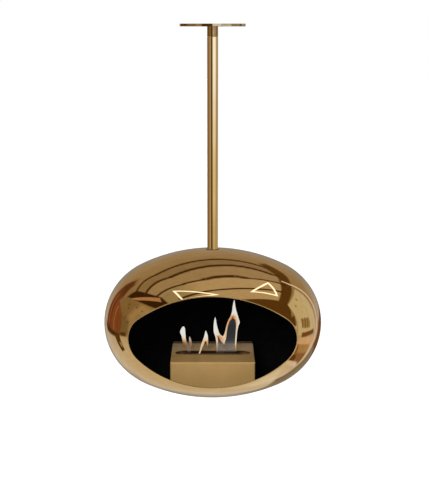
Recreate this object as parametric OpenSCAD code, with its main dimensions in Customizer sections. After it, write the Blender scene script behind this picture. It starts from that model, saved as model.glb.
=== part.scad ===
// Hanging fireplace: a polished bowl with an oval mouth, carried by a pole that turns under a ceiling plate.
// Millimetres, +Z up. The origin is the centre of the plate's top face, which lies against the ceiling.
// The bowl's mouth faces -Y.

/* [Ceiling plate] */
// Diameter of the round ceiling plate
plate_d = 210; // [190:1:260]
// Thickness of the ceiling plate
plate_t = 9; // [8:0.5:14]
// Chamfer round the plate's lower edge
plate_chamfer = 1; // [0.5:0.1:2]
// Circle on which the four ceiling bolt holes lie
bolt_circle_d = 160; // [100:1:170]
// Diameter of a ceiling bolt hole
bolt_hole_d = 6.5; // [5:0.1:9]
// Diameter of the countersink for a ceiling bolt's head
bolt_head_d = 13; // [10:0.5:16]

/* [Socket] */
// Height of the socket that hangs under the plate
socket_h = 31; // [30:0.5:60]
// Bore of the socket's hollow, round the bearing and the nuts
socket_bore_d = 21; // [20.5:0.1:23]
// Thickness of the socket's floor, which carries the bearing
socket_floor_t = 8; // [5:0.5:10]
// Thread diameter of the screws between plate and socket
socket_screw_d = 4; // [3:0.5:4]
// Head diameter of those screws
socket_screw_head_d = 8; // [6:0.5:8]
// Length of those screws
socket_screw_l = 16; // [12:0.5:20]
// Number of those screws
socket_screws_n = 3; // [3:1:6]

/* [Swivel] */
// Diameter of the spindle on which the pole turns
spindle_d = 10; // [8:0.5:10]
// Wall of the swivel bush
bush_wall = 2; // [1:0.25:3]
// Diameter of the bush's flange, under the socket
bush_flange_d = 34; // [24:0.5:34]
// Thickness of the bush's flange
bush_flange_t = 1; // [0.5:0.25:3]
// Diameter of the thrust bearing's races
race_d = 18; // [16:0.5:20]
// Thickness of a race
race_t = 1.6; // [1:0.1:2]
// Diameter of a bearing ball
ball_d = 2.3; // [1.6:0.1:2.8]
// Number of bearing balls
balls_n = 12; // [6:1:14]
// Width across the flats of the spindle's nuts
spindle_nut_af = 16; // [14:0.5:17]
// Height of the spindle nut
spindle_nut_h = 6; // [4:0.5:7]
// Height of the lock nut
lock_nut_h = 4; // [3:0.5:5]

/* [Pole] */
// Drop from the ceiling to the top of the bowl
drop_h = 726; // [500:1:1800]
// Outer diameter of the pole
pole_d = 35; // [34:0.5:42]
// Wall of the pole
pole_wall = 2.5; // [1.5:0.25:3]
// Length of the plugs in the pole's ends
plug_l = 30; // [15:1:60]
// Diameter of the ring at the pole's foot
ring_d = 44; // [40:0.5:60]
// Thickness of that ring
ring_t = 3; // [2:0.25:6]

/* [Bowl hanger] */
// Diameter of the stud that carries the bowl
stud_d = 12; // [10:1:14]
// Diameter of the stiffening plate inside the crown
crown_plate_d = 120; // [80:1:200]
// Thickness of that plate
crown_plate_t = 4; // [2:0.5:6]
// Diameter of the washer under it
washer_d = 32; // [28:1:44]
// Thickness of the washer
washer_t = 3; // [2:0.5:5]
// Width across the flats of the stud's nut
stud_nut_af = 19; // [17:0.5:24]
// Height of the stud's nut
stud_nut_h = 10; // [7:0.5:14]

/* [Bowl] */
// Diameter of the bowl
bowl_d = 710; // [690:1:780]
// Height of the bowl
bowl_h = 478; // [460:1:500]
// Radius of the bowl's round shoulder
knuckle_r = 203; // [190:1:215]
// Thickness of the outer shell
shell_t = 1.5; // [1.2:0.1:3]
// Thickness of the black heat shield inside the shell
shield_t = 0.8; // [0.6:0.1:2]

/* [Mouth] */
// Width of the oval mouth
mouth_w = 526; // [480:1:560]
// Height of the mouth
mouth_h = 290; // [260:1:310]
// Radius of the mouth's two ends
mouth_r = 83; // [65:1:100]
// Drop of the mouth's centre below the bowl's equator
mouth_drop = 6; // [0:1:16]

/* [Burner housing] */
// Width of the housing
box_w = 272; // [271:1:320]
// Depth of the housing
box_d = 272; // [250:1:310]
// Drop of the deck's top below the bowl's equator
box_drop = 106; // [90:1:120]
// Thickness of the housing's sheet
box_wall = 2; // [1:0.1:2.2]
// Gap between a fixing boss's axis and the inside of the housing's side
boss_inset = 20; // [15:1:40]
// Gap between a fixing boss's axis and the housing's front or back
boss_end = 56; // [40:1:80]
// Diameter of a fixing boss
boss_d = 18; // [12:1:24]
// Width of a fixing bracket
bracket_w = 30; // [20:1:40]
// Height of a fixing bracket
bracket_h = 22; // [12:1:28]
// Thickness of a fixing bracket
bracket_t = 3; // [2:0.5:4]
// Thread diameter of a bracket's bolt
bracket_bolt_d = 6; // [4:0.5:8]
// Length of that bolt under its head
bracket_bolt_l = 8; // [6:0.5:9]
// Width across the flats of its head
bracket_bolt_af = 10; // [9:0.5:13]
// Height of its head
bracket_bolt_head_h = 4; // [3:0.5:6]
// Gap between the drip tray and the brackets at its sides
tray_side_gap = 6; // [1:0.5:8]
// Gap between the drip tray and the housing's front and back
tray_end_gap = 29; // [10:1:38]
// Thickness of the drip tray's sheet
tray_t = 1.2; // [0.8:0.1:2]
// Height of the drip tray's edge
tray_h = 8; // [5:0.5:20]

/* [Deck] */
// Thickness of the deck on top of the housing
deck_t = 3; // [2:0.25:4]
// Chamfer along the deck's two side edges
deck_chamfer = 2; // [0.5:0.1:2]
// Gap between the flame slot's end and the deck's side edge
slot_edge = 13; // [12:0.5:40]
// Width of the flame slot
slot_w = 57; // [40:1:66]
// Height of the guard along the deck's back edge
guard_h = 7; // [3:0.5:20]
// Thickness of that guard
guard_t = 2; // [1:0.25:3]
// Inset of a locating tab's middle from the deck's side edge
tab_inset = 46; // [30:1:100]
// Width of a locating tab under the deck
tab_w = 20; // [10:1:40]
// Height of a locating tab
tab_h = 8; // [4:0.5:20]
// Thickness of a locating tab
tab_t = 1.5; // [1:0.25:3]

/* [Damper] */
// Thickness of the sliding damper
damper_t = 1.5; // [1:0.25:3]
// Lap of the damper past the slot's edges
damper_lap = 6; // [3:0.5:6]
// Inset of the damper's pull lip from the straight part of the slot's edge
lip_inset = 3.5; // [1:0.5:60]
// Height of the lip above the deck
lip_h = 3; // [2:0.25:6]
// Thickness of the lip
lip_t = 2; // [1:0.25:3]
// Thickness of a rail's sheet
rail_t = 1.5; // [1:0.1:1.8]
// Width of a rail's foot, on which the damper slides
rail_foot = 6; // [4:0.5:8]

/* [Fuel tank] */
// Width of the fuel tank, front to back
tank_w = 104; // [90:1:140]
// Height of the fuel tank
tank_h = 60; // [45:1:70]
// Thickness of the tank's sheet
tank_wall = 1.5; // [1:0.1:2]
// Height of the wick pad
pad_h = 38; // [20:1:42]
// Thickness of the mesh on the pad
mesh_t = 1.2; // [0.8:0.1:2]
// Width of the mesh's bars
mesh_bar = 4; // [2:0.25:5]

/* [Hidden] */
$fn = 96;

// Clearances
fit = 0.05;         // radial, between a shaft or plug and its bore
seat = 0.3;         // between curved faces, and where a piece hangs free of its seat
thread_fit = 0.02;  // radial, between a screw and its tapped hole
slide = 0.4;        // round the sliding damper
hole_slack = 0.5;   // radial, round a bolt or a stud in a sheet
cut = 1;            // by which a cutting tool overshoots a face

// Counts and small forms
bolts_n = 4;
cone_h_share = 0.5;  // a 90 degree countersink is half as deep as its diameters differ
thread_end = 2;      // thread that stands past a nut
head_sink = 0.2;     // by which a countersunk head lies under the face
key_af_share = 0.55; // hexagon socket in a screw head, as a share of the thread diameter
profile_steps = 24;  // chords in each arc of the bowl's outline
mesh_rows = 3;
mesh_pitch = 12.5;
tank_reach = 3.5;    // by which the tank's inside passes the slot's ends
flange_past_rail = 1;
lip_gap = 1;         // between the damper's lip and the slot's edge, at either end of its travel
rail_past = 2;       // by which the rails pass the damper

// Heights
plate_z = -plate_t;
socket_z = plate_z - socket_h;
socket_floor_z = socket_z + socket_floor_t;
balls_z = socket_floor_z + race_t + fit + ball_d/2;
race_z = balls_z + ball_d/2 + fit;
spindle_nut_z = race_z + race_t;
lock_nut_z = spindle_nut_z + spindle_nut_h;
spindle_z = lock_nut_z + lock_nut_h + thread_end;
pole_z = socket_z - bush_flange_t - seat;
crown_z = -drop_h;
ring_z = crown_z + ring_t;
equator_z = crown_z - bowl_h/2;
deck_z = equator_z - box_drop;
deck_under_z = deck_z - deck_t;
rail_h = slide + damper_t + seat + rail_t;
tank_z = deck_under_z - rail_h;
tank_floor_z = tank_z - tank_h;
pad_z = tank_floor_z + tank_wall + seat;
mesh_z = pad_z + pad_h;

// Insets of the bowl's layers
shield_out = shell_t + seat;
shield_in = shield_out + shield_t;
crown_plate_out = shield_in + seat;
crown_plate_in = crown_plate_out + crown_plate_t;

// Radius of the bowl's flat arc, over a span of w x h (half sizes) with ends of radius r
function arc_r(w, h, r) = (w*w + h*h - 2*w*r)/(2*(h - r));
// Angle at which the flat arc meets the round end
function arc_a(w, h, r) = atan2(arc_r(w, h, r) - h, w - r);

crown_r = arc_r(bowl_d/2, bowl_h/2, knuckle_r);
// Height above the equator of the crown's face at radius x, on a layer inset by t
function crown_at(t, x) = bowl_h/2 - crown_r + sqrt(pow(crown_r - t, 2) - x*x);

washer_z = equator_z + crown_at(crown_plate_in, washer_d/2);
crown_nut_z = washer_z - washer_t;
stud_end_z = crown_nut_z - stud_nut_h - thread_end;

// Places in the housing
boss_x = box_w/2 - box_wall - boss_inset;
boss_y = box_d/2 - boss_end;
bracket_reach = norm([box_w/2 - box_wall, boss_y + bracket_w/2]);
bracket_z = equator_z - crown_at(shield_in, bracket_reach) + seat;
tray_z = bracket_z + bracket_t;
tray_w = box_w - 2*(box_wall + bracket_t + tray_side_gap);
tray_d = box_d - 2*(box_wall + tray_end_gap);
boss_spots = [for (x = [-1, 1], y = [-1, 1]) [x*boss_x, y*boss_y]];

// Places in the burner
slot_l = box_w - 2*slot_edge;
lip_l = slot_l - slot_w - 2*lip_inset;
tab_x = box_w/2 - tab_inset;
damper_l = slot_l + 2*damper_lap;
damper_w = slot_w - lip_gap + damper_lap;
damper_travel = slot_w - 2*lip_gap - lip_t;
lip_y = -slot_w/2 + lip_gap;
rail_x = damper_l/2 + slide;
tank_in_l = slot_l + 2*tank_reach;
tank_l = tank_in_l + 2*tank_wall;
flange_l = 2*(rail_x + rail_t + flange_past_rail);
flange_w = tank_w + flange_l - tank_l;
pad_l = tank_in_l - 2*slide;
pad_w = tank_w - 2*tank_wall - 2*slide;

brass = "#b08d57";
satin_brass = "#8f7146";
steel = "#9aa0a6";
black = "#151412";
bronze = "#9c6b3a";
ceramic = "#e8e4da";

// ---- Shapes that repeat ----

module up(z) {
    translate([0, 0, z]) children();
}

// Half of an oval of four arcs: the flat arc above the middle line
module half_oval(w, h, r) {
    big = arc_r(w, h, r);
    meet = [big*cos(arc_a(w, h, r)), h - big + big*sin(arc_a(w, h, r))];
    intersection() {
        translate([0, h - big]) circle(big, $fn = 256);
        polygon([
            [-(w - r), 0], [-meet[0], meet[1]], [-meet[0], h + cut],
            [meet[0], h + cut], meet, [w - r, 0]
        ]);
    }
}

module oval(w, h, r) {
    half_oval(w, h, r);
    mirror([0, 1]) half_oval(w, h, r);
    for (s = [-1, 1]) translate([s*(w - r), 0]) circle(r, $fn = 192);
}

// A quarter of the bowl's outline, from the crown round the shoulder to the equator
function quarter(w, h, r) = let (big = arc_r(w, h, r), a = arc_a(w, h, r)) concat(
    [for (i = [0:profile_steps])
        let (t = 90 - (90 - a)*i/profile_steps) [big*cos(t), h - big + big*sin(t)]],
    [for (i = [1:profile_steps])
        let (t = a*(1 - i/profile_steps)) [w - r + r*cos(t), r*sin(t)]]
);

// The whole bowl as a solid, drawn in by inset all over
module bowl(inset) {
    q = quarter(bowl_d/2 - inset, bowl_h/2 - inset, knuckle_r - inset);
    lower = [for (i = [len(q) - 2:-1:0]) [q[i][0], -q[i][1]]];
    up(equator_z) rotate_extrude($fn = 180) polygon(concat(q, lower));
}

// The mouth, as the prism that cuts it out of the bowl's front
module mouth() {
    up(equator_z - mouth_drop) rotate([90, 0, 0])
        linear_extrude(bowl_d) oval(mouth_w/2, mouth_h/2, mouth_r);
}

// One layer of the bowl, between two insets, with its mouth and the stud's hole
module bowl_layer(outside, inside) {
    difference() {
        bowl(outside);
        bowl(inside);
        mouth();
        up(equator_z) cylinder(h = bowl_h, d = stud_d + 2*hole_slack);
    }
}

module tube(h, d, bore) {
    difference() {
        cylinder(h = h, d = d);
        up(-cut) cylinder(h = h + 2*cut, d = bore);
    }
}

module hex_nut(h, af, bore) {
    difference() {
        cylinder(h = h, d = af/cos(30), $fn = 6);
        up(-cut) cylinder(h = h + 2*cut, d = bore);
    }
}

// Outline of the flame slot, round at both ends
module slot_outline(l, w) {
    square([l - w, w], center = true);
    for (s = [-1, 1]) translate([s*(l - w)/2, 0]) circle(w/2);
}

module slab(l, w, h) {
    translate([-l/2, -w/2, 0]) cube([l, w, h]);
}

module at_bosses() {
    for (p = boss_spots) translate(p) children();
}

// Spots of the screws between plate and socket
module at_socket_screws() {
    for (i = [0:socket_screws_n - 1])
        rotate(i*360/socket_screws_n) translate([(socket_bore_d + pole_d)/4, 0, 0]) children();
}

// ---- Ceiling plate and swivel ----

module ceiling_plate() {
    sink_h = (bolt_head_d - bolt_hole_d)*cone_h_share;
    screw_hole_d = socket_screw_d + 2*thread_fit + fit;
    screw_sink_h = (socket_screw_head_d - screw_hole_d)*cone_h_share;
    color(brass) difference() {
        union() {
            up(plate_z + plate_chamfer) cylinder(h = plate_t - plate_chamfer, d = plate_d, $fn = 180);
            up(plate_z) cylinder(h = plate_chamfer, d1 = plate_d - 2*plate_chamfer, d2 = plate_d, $fn = 180);
        }
        for (i = [0:bolts_n - 1]) rotate(45 + i*360/bolts_n) translate([bolt_circle_d/2, 0, plate_z]) {
            up(-cut) cylinder(h = plate_t + 2*cut, d = bolt_hole_d);
            cylinder(h = sink_h, d1 = bolt_head_d, d2 = bolt_hole_d);
            up(-cut) cylinder(h = cut, d = bolt_head_d);
        }
        at_socket_screws() {
            up(plate_z - cut) cylinder(h = plate_t + 2*cut, d = screw_hole_d);
            up(-screw_sink_h) cylinder(h = screw_sink_h, d1 = screw_hole_d, d2 = socket_screw_head_d);
            cylinder(h = cut, d = socket_screw_head_d);
        }
    }
}

// The bore takes the bush, with one fit inside the bush and one outside it
module pole_socket() {
    color(satin_brass) difference() {
        up(socket_z) cylinder(h = socket_h, d = pole_d);
        up(socket_floor_z) cylinder(h = socket_h, d = socket_bore_d);
        up(socket_z - cut) cylinder(h = socket_h, d = spindle_d + 2*bush_wall + 4*fit);
        at_socket_screws() up(-socket_screw_l - thread_end)
            cylinder(h = socket_screw_l, d = socket_screw_d + 2*thread_fit);
    }
}

// Countersunk screws, whose heads lie a little under the plate's face and clear of their cones
module socket_screws() {
    head_h = (socket_screw_head_d - socket_screw_d)*cone_h_share - head_sink;
    color(steel) at_socket_screws() difference() {
        union() {
            up(-socket_screw_l) cylinder(h = socket_screw_l - head_sink, d = socket_screw_d);
            up(-head_sink - head_h)
                cylinder(h = head_h, d1 = socket_screw_d, d2 = socket_screw_head_d - 4*head_sink);
        }
        up(-head_sink - head_h) cylinder(h = head_h + cut, d = socket_screw_d*key_af_share/cos(30), $fn = 6);
    }
}

module swivel_bush() {
    bore = spindle_d + 2*fit;
    color(bronze) union() {
        up(socket_z) tube(socket_floor_t, bore + 2*bush_wall, bore);
        up(socket_z - bush_flange_t) tube(bush_flange_t, bush_flange_d, bore);
    }
}

module race(z) {
    color(steel) up(z) tube(race_t, race_d, spindle_d + 2*fit);
}

module bearing_race_fixed() {
    race(socket_floor_z);
}

module bearing_race_turning() {
    race(race_z);
}

module bearing_balls() {
    color(steel) for (i = [0:balls_n - 1])
        rotate(i*360/balls_n) translate([(race_d + spindle_d)/4, 0, balls_z]) sphere(d = ball_d, $fn = 32);
}

module spindle_nut() {
    color(steel) up(spindle_nut_z) hex_nut(spindle_nut_h, spindle_nut_af, spindle_d + 2*thread_fit);
}

module lock_nut() {
    color(steel) up(lock_nut_z) rotate(30) hex_nut(lock_nut_h, spindle_nut_af, spindle_d + 2*thread_fit);
}

// ---- Pole ----

module pole_plug(z) {
    up(z) cylinder(h = plug_l, d = pole_d - 2*pole_wall - 2*fit);
}

module pole_head() {
    color(steel) union() {
        pole_plug(pole_z - plug_l);
        up(pole_z - plug_l) cylinder(h = spindle_z - pole_z + plug_l, d = spindle_d);
    }
}

module pole_tube() {
    color(brass) up(ring_z) tube(pole_z - ring_z, pole_d, pole_d - 2*pole_wall);
}

module pole_base() {
    color(steel) union() {
        pole_plug(ring_z);
        up(stud_end_z) cylinder(h = ring_z + plug_l - stud_end_z, d = stud_d);
    }
}

module base_ring() {
    color(satin_brass) up(crown_z) tube(ring_t, ring_d, stud_d + 2*hole_slack);
}

// ---- Bowl ----

module bowl_shell() {
    color(brass) bowl_layer(0, shell_t);
}

// The shield has clearance holes for the bosses that are welded to the shell
module heat_shield() {
    color(black) difference() {
        bowl_layer(shield_out, shield_in);
        at_bosses() up(equator_z - bowl_h) cylinder(h = bowl_h/2 + bowl_h/4, d = boss_d + 2*hole_slack);
    }
}

module crown_plate() {
    color(steel) intersection() {
        bowl_layer(crown_plate_out, crown_plate_in);
        up(equator_z) cylinder(h = bowl_h, d = crown_plate_d);
    }
}

module crown_washer() {
    color(steel) up(crown_nut_z) tube(washer_t, washer_d, stud_d + 2*hole_slack);
}

module crown_nut() {
    color(steel) up(crown_nut_z - stud_nut_h) hex_nut(stud_nut_h, stud_nut_af, stud_d + 2*thread_fit);
}

// ---- Burner housing and its fixings ----

// Bosses that stand on the shell, tapped right through
module fixing_bosses() {
    color(steel) intersection() {
        at_bosses() up(equator_z - bowl_h)
            tube(bracket_z - equator_z + bowl_h, boss_d, bracket_bolt_d + 2*thread_fit);
        bowl(shield_out);
    }
}

module fixing_brackets() {
    foot = boss_inset + boss_d/2;
    color(steel) for (sx = [-1, 1], sy = [-1, 1]) scale([sx, sy, 1]) difference() {
        translate([box_w/2 - box_wall, boss_y - bracket_w/2, bracket_z]) {
            translate([-foot, 0, 0]) cube([foot, bracket_w, bracket_t]);
            translate([-bracket_t, 0, 0]) cube([bracket_t, bracket_w, bracket_h]);
        }
        translate([boss_x, boss_y, bracket_z - cut])
            cylinder(h = bracket_t + 2*cut, d = bracket_bolt_d + 2*hole_slack);
    }
}

module bracket_bolts() {
    color(steel) at_bosses() union() {
        up(tray_z + tray_t) cylinder(h = bracket_bolt_head_h, d = bracket_bolt_af/cos(30), $fn = 6);
        up(tray_z + tray_t - bracket_bolt_l) cylinder(h = bracket_bolt_l, d = bracket_bolt_d);
    }
}

module drip_tray() {
    color(steel) difference() {
        up(tray_z) slab(tray_w, tray_d, tray_h);
        up(tray_z + tray_t) slab(tray_w - 2*tray_t, tray_d - 2*tray_t, tray_h);
        at_bosses() up(tray_z - cut) cylinder(h = tray_t + 2*cut, d = bracket_bolt_d + 2*hole_slack);
    }
}

// Four walls, whose lower edges follow the bowl's round floor
module burner_housing() {
    color(satin_brass) intersection() {
        difference() {
            up(equator_z - bowl_h/2) slab(box_w, box_d, deck_under_z - equator_z + bowl_h/2);
            up(equator_z - bowl_h) slab(box_w - 2*box_wall, box_d - 2*box_wall, bowl_h);
        }
        bowl(shield_in + seat);
    }
}

// ---- Burner, which lifts out of the housing ----

module burner_deck() {
    top_w = box_w - 2*deck_chamfer;
    color(satin_brass) difference() {
        union() {
            translate([0, box_d/2, deck_z]) rotate([90, 0, 0]) linear_extrude(box_d) polygon([
                [-box_w/2, -deck_t], [box_w/2, -deck_t], [box_w/2, -deck_chamfer],
                [top_w/2, 0], [-top_w/2, 0], [-box_w/2, -deck_chamfer]
            ]);
            translate([-top_w/2, box_d/2 - guard_t, deck_under_z]) cube([top_w, guard_t, deck_t + guard_h]);
            for (x = [-tab_x, tab_x], s = [-1, 1])
                translate([x, s*(box_d/2 - box_wall - seat - tab_t/2), deck_under_z - tab_h])
                    slab(tab_w, tab_t, tab_h + deck_t/2);
        }
        up(deck_under_z - cut) linear_extrude(deck_t + 2*cut) slot_outline(slot_l, slot_w);
    }
}

module damper_rails() {
    front_y = lip_y + lip_t - damper_w - rail_past;
    run = tank_w/2 - front_y;
    color(steel) for (s = [0, 1]) mirror([s, 0, 0]) translate([rail_x, front_y, tank_z]) {
        cube([rail_t, run, rail_h]);
        translate([rail_t - rail_foot, 0, 0]) cube([rail_foot, run, rail_t]);
    }
}

// Open box with a flange round its top, hung from the rails
module fuel_tank() {
    color(steel) difference() {
        union() {
            up(tank_floor_z) slab(tank_l, tank_w, tank_h);
            up(tank_z - tank_wall) slab(flange_l, flange_w, tank_wall);
        }
        up(tank_floor_z + tank_wall) slab(tank_in_l, tank_w - 2*tank_wall, tank_h);
    }
}

module wick_pad() {
    color(ceramic) up(pad_z) slab(pad_l, pad_w, pad_h);
}

module wick_mesh() {
    row = (pad_w - mesh_bar)/mesh_rows;
    columns = floor((pad_l - mesh_bar)/mesh_pitch);
    color(steel) difference() {
        up(mesh_z) slab(pad_l, pad_w, mesh_t);
        for (i = [0:columns - 1], j = [0:mesh_rows - 1])
            translate([(i - (columns - 1)/2)*mesh_pitch, (j - (mesh_rows - 1)/2)*row, mesh_z - cut])
                slab(mesh_pitch - mesh_bar, row - mesh_bar, mesh_t + 2*cut);
    }
}

// The damper lies open towards the front, and closes the slot as it slides towards the back
module damper() {
    z = tank_z + rail_t + seat;
    color(brass) union() {
        translate([-damper_l/2, lip_y + lip_t - damper_w, z]) cube([damper_l, damper_w, damper_t]);
        translate([-lip_l/2, lip_y, z]) cube([lip_l, lip_t, deck_z + lip_h - z]);
    }
}

ceiling_plate();
pole_socket();
socket_screws();
swivel_bush();
bearing_race_fixed();
bearing_balls();
bearing_race_turning();
spindle_nut();
lock_nut();
pole_head();
pole_tube();
pole_base();
base_ring();
bowl_shell();
heat_shield();
crown_plate();
crown_washer();
crown_nut();
fixing_bosses();
fixing_brackets();
bracket_bolts();
drip_tray();
burner_housing();
burner_deck();
damper_rails();
fuel_tank();
wick_pad();
wick_mesh();
damper();
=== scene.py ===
"""The finished look of a hanging fireplace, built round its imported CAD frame.

A polished brass bowl with an oval mouth hangs on a pole that turns under a ceiling plate. Inside are a black
heat shield and a satin brass burner box with a slot, a sliding damper and five flames. Lengths are metres in
the frame's own axes: the origin is the middle of the ceiling plate's top, +Z is up and the mouth faces -Y.
"""

import math

import bpy
import numpy as np
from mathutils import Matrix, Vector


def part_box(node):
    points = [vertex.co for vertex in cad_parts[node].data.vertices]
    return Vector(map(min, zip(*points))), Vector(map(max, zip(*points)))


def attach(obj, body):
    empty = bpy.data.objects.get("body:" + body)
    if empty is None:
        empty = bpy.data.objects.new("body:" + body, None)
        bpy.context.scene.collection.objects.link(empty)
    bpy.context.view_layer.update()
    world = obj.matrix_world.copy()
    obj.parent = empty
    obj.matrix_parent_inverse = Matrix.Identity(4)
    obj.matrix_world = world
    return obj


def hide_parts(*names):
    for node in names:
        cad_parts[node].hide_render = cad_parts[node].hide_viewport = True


bl_info = {
    "name": "Hanging Fireplace",
    "version": (1, 0, 0),
    "blender": (4, 5, 0),
    "location": "View3D > Sidebar > Fireplace",
    "description": "Builds the finished look of a hanging fireplace round its CAD frame",
    "category": "Add Mesh",
}

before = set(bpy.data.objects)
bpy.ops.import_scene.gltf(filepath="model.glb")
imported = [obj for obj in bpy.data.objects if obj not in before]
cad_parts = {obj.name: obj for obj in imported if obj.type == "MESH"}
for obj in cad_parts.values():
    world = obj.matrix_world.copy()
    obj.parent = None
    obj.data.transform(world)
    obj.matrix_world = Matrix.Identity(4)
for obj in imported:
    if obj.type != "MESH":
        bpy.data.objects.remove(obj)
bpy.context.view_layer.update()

MM = 0.001
SUPPORT = 0.3 * MM  # from a rounded edge to the row that keeps the flat beside it flat


# ---- Sizes, most of them read from the frame ----

def span(node, axis):
    low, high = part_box(node)
    return high[axis] - low[axis]


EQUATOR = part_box("bowl_shell")[0][2] + span("bowl_shell", 2) / 2
DECK_SHEET = 3 * MM      # the deck's thickness
DECK_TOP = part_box("damper_rails")[1][2] + DECK_SHEET
SHELL = 1.5 * MM         # wall of the bowl
HOUSING_SHEET = 2 * MM   # wall of the burner housing
HOUSING_GAP = 2.9 * MM   # from the bowl's outside to the lower edge of the burner housing
SMALLEST = 0.05 * MM     # radius that is left of a corner when its outline is drawn in
HALVINGS = 44            # of the stretch of a ray that holds its end


def length(name, text, default):
    return bpy.props.FloatProperty(
        name=name, description=text, default=default, min=0, unit="LENGTH", subtype="DISTANCE", precision=4
    )


def colour(name, text, default):
    return bpy.props.FloatVectorProperty(
        name=name, description=text, default=default, size=3, min=0, max=1, subtype="COLOR"
    )


class FireplaceSizes(bpy.types.PropertyGroup):
    """Sizes of the pieces that are drawn here in place of their CAD solids."""

    bowl_width: length("Bowl width", "Diameter of the bowl", span("bowl_shell", 0))
    bowl_height: length("Bowl height", "Height of the bowl", span("bowl_shell", 2))
    shoulder: length("Shoulder radius", "Radius of the bowl's round shoulder", 203 * MM)
    mouth_width: length("Mouth width", "Width of the oval mouth", 526 * MM)
    mouth_height: length("Mouth height", "Height of the oval mouth", 290 * MM)
    mouth_end: length("Mouth end radius", "Radius of the mouth's two ends", 83 * MM)
    mouth_drop: length("Mouth drop", "Drop of the mouth's middle below the bowl's equator", 6 * MM)
    pole_wall: length("Pole wall", "Wall of the pole", 2.5 * MM)
    box_edge: length("Box edge radius", "Radius of the burner box's upright edges", 4 * MM)
    deck_edge: length("Deck edge radius", "Radius along the deck's two side edges", 2.3 * MM)
    slot_length: length("Slot length", "Length of the flame slot", 246 * MM)
    slot_width: length("Slot width", "Width of the flame slot", 57 * MM)


class FireplaceFinishes(bpy.types.PropertyGroup):
    """Colours of the finishes."""

    polished_brass: colour("Polished brass", "Mirror of the bowl, pole and plate", (0.58, 0.415, 0.195))
    satin_brass: colour("Satin brass", "Brushed metal of the burner box and fittings", (0.52, 0.32, 0.115))
    shield_black: colour("Shield black", "Matte paint of the heat shield", (0.004, 0.004, 0.0042))
    steel: colour("Steel", "Bare steel of fixings and bearing", (0.46, 0.46, 0.47))
    stainless: colour("Stainless sheet", "Sheet of tank, rails, tray and damper", (0.50, 0.49, 0.47))
    bronze: colour("Bush bronze", "Swivel bush", (0.42, 0.22, 0.09))
    ceramic: colour("Wick ceramic", "Fibre pad that holds the fuel", (0.78, 0.76, 0.70))
    flame_tip: colour("Flame tip", "Hottest part of a flame", (0.77, 0.755, 0.69))
    flame_edge: colour("Flame edge", "Inner edge of a flame", (0.62, 0.22, 0.06))
    floor: colour("Floor", "Studio floor", (0.90, 0.90, 0.90))


# ---- Surfaces ----

def quads(rows, columns, wrap):
    """Corner numbers of the quads of a grid whose columns close round, and its rows too if wrap is true."""
    i, j = np.meshgrid(np.arange(rows if wrap else rows - 1), np.arange(columns), indexing="ij")
    below, beside = (i + 1) % rows, (j + 1) % columns
    corners = [i * columns + j, i * columns + beside, below * columns + beside, below * columns + j]
    return np.stack(corners, -1).reshape(-1, 4)


def shell(grid, wrap=False, tips=(None, None)):
    """One closed shell from a grid of points, rows by columns.

    The columns close round. The rows close too if wrap is true, or else a tip point, or one flat face where
    the tip is None, closes each end row. The faces come as arrays of corner numbers, and are turned outwards
    by the sign of the volume, a sixth of the sum over triangles of a . (b x c).
    """
    rows, columns = grid.shape[:2]
    points = grid.reshape(-1, 3)
    body = quads(rows, columns, wrap)
    blocks = [body]
    if not wrap:
        first = np.arange(columns)
        for row, tip in ((first[::-1], tips[0]), (first + (rows - 1) * columns, tips[1])):
            if tip is None:
                blocks.append(row[None])
            else:
                blocks.append(np.stack([row, np.roll(row, -1), np.full(columns, len(points))], -1))
                points = np.vstack([points, tip])
    corners = np.concatenate([body[:, [0, 1, 2]], body[:, [0, 2, 3]]])
    a, b, c = (points[corners[:, k]] - points.mean(0) for k in range(3))
    if (a * np.cross(b, c)).sum() < 0:
        blocks = [block[:, ::-1] for block in blocks]
    return points, blocks


def piece(name, shells, material, body, replaces, sharp=40, attributes=None):
    """Makes one mesh object of closed shells, dresses it and lets it ride on its body."""
    points, blocks = zip(*shells)
    starts = np.cumsum([0] + [len(each) for each in points])
    faces = []
    for start, part in zip(starts, blocks):
        for block in part:
            faces += (block + start).tolist()
    mesh = bpy.data.meshes.new(name)
    mesh.from_pydata(np.concatenate(points).tolist(), [], faces)
    mesh.shade_smooth()
    mesh.set_sharp_from_angle(angle=math.radians(sharp))
    mesh.materials.append(material)
    for key, values in (attributes or {}).items():
        mesh.attributes.new(key, "FLOAT", "POINT").data.foreach_set("value", values.astype(np.float32))
    made = bpy.data.objects.new(name, mesh)
    bpy.context.scene.collection.objects.link(made)
    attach(made, body)
    if replaces:
        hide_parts(*replaces)
    return made


def rectangle(half_x, half_y, radii, inset=0.0, along=1, steps=5):
    """Points round a rectangle with round corners, drawn in by inset: quarter circles of that many steps, and
    sides that along points divide. radii is one radius, or those at +x +y, -x +y, -x -y and +x -y. A point
    (x, y) is held as x + iy, and the factor i turns a quarter circle to the next corner."""
    t = np.linspace(0, np.pi / 2, steps + 1)
    corners = []
    for number, radius in enumerate(np.broadcast_to(radii, 4)):
        r = max(radius - inset, SMALLEST)
        quarter = np.concatenate([[r - 1j * SUPPORT], r * np.cos(t) + 1j * r * np.sin(t), [1j * r - SUPPORT]])
        x, y = (1, -1, -1, 1)[number], (1, 1, -1, -1)[number]
        corners.append(quarter * 1j**number + x * (half_x - inset - r) + 1j * y * (half_y - inset - r))
    share = np.linspace(0, 1, along + 1, endpoint=False)[1:]
    line = np.concatenate([
        np.append(here, here[-1] + (after[0] - here[-1]) * share)
        for here, after in zip(corners, corners[1:] + corners[:1])
    ])
    return np.stack([line.real, line.imag], -1)


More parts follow.
